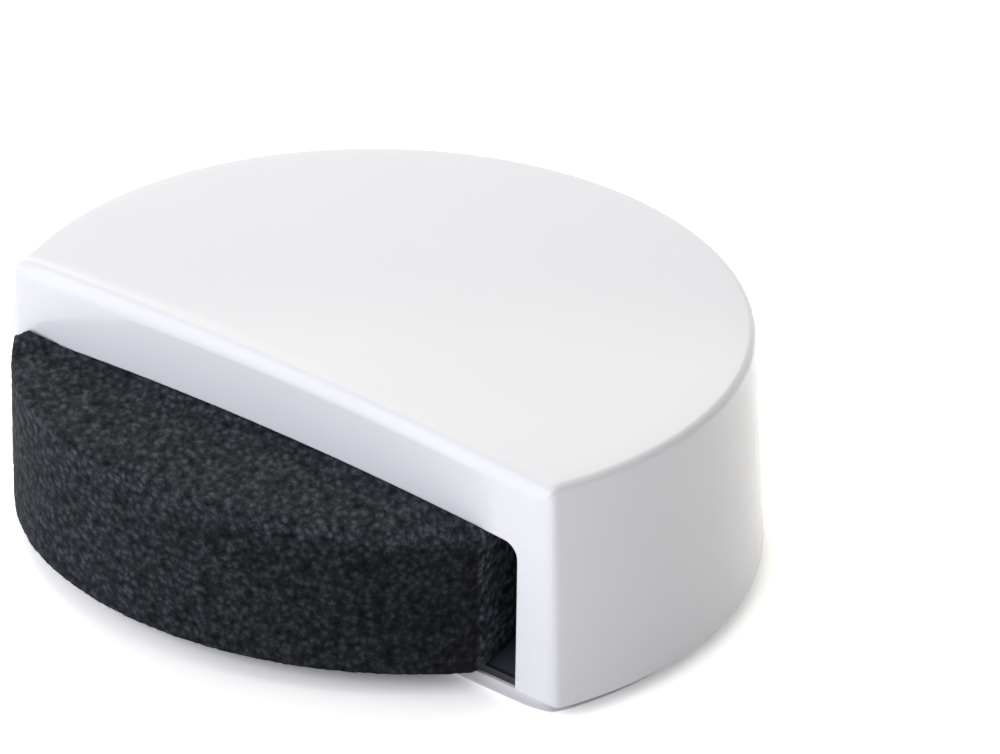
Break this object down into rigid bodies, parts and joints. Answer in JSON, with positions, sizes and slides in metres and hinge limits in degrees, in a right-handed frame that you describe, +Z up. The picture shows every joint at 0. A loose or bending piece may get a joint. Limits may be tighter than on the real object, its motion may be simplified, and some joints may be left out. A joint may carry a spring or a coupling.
{
  "type": "cabinet door bumper",
  "caption": "Half-round self-adhesive door bumper: a white domed plastic cap with a straight front and a dark foam block that stands out through its opening.",
  "frame": {"origin": "on the surface that the bumper is stuck to, under the centre of the round wall", "axes": "+Z up from that surface, -Y towards the straight front and the foam, +X to the right seen from the front"},
  "size_m": [0.051, 0.0454, 0.0173],
  "materials": {
    "housing": "glossy moulded plastic",
    "bumper": "fine-celled rubber foam, matt",
    "base_plate": "smooth dark plastic sheet",
    "adhesive_pad": "light grey foam tape",
    "release_liner": "smooth coated paper"
  },
  "bodies": {
    "root": {"housing": "housing", "bumper": "bumper", "base_plate": "base_plate", "adhesive_pad": "adhesive_pad", "release_liner": "release_liner"}
  },
  "joints": []
}
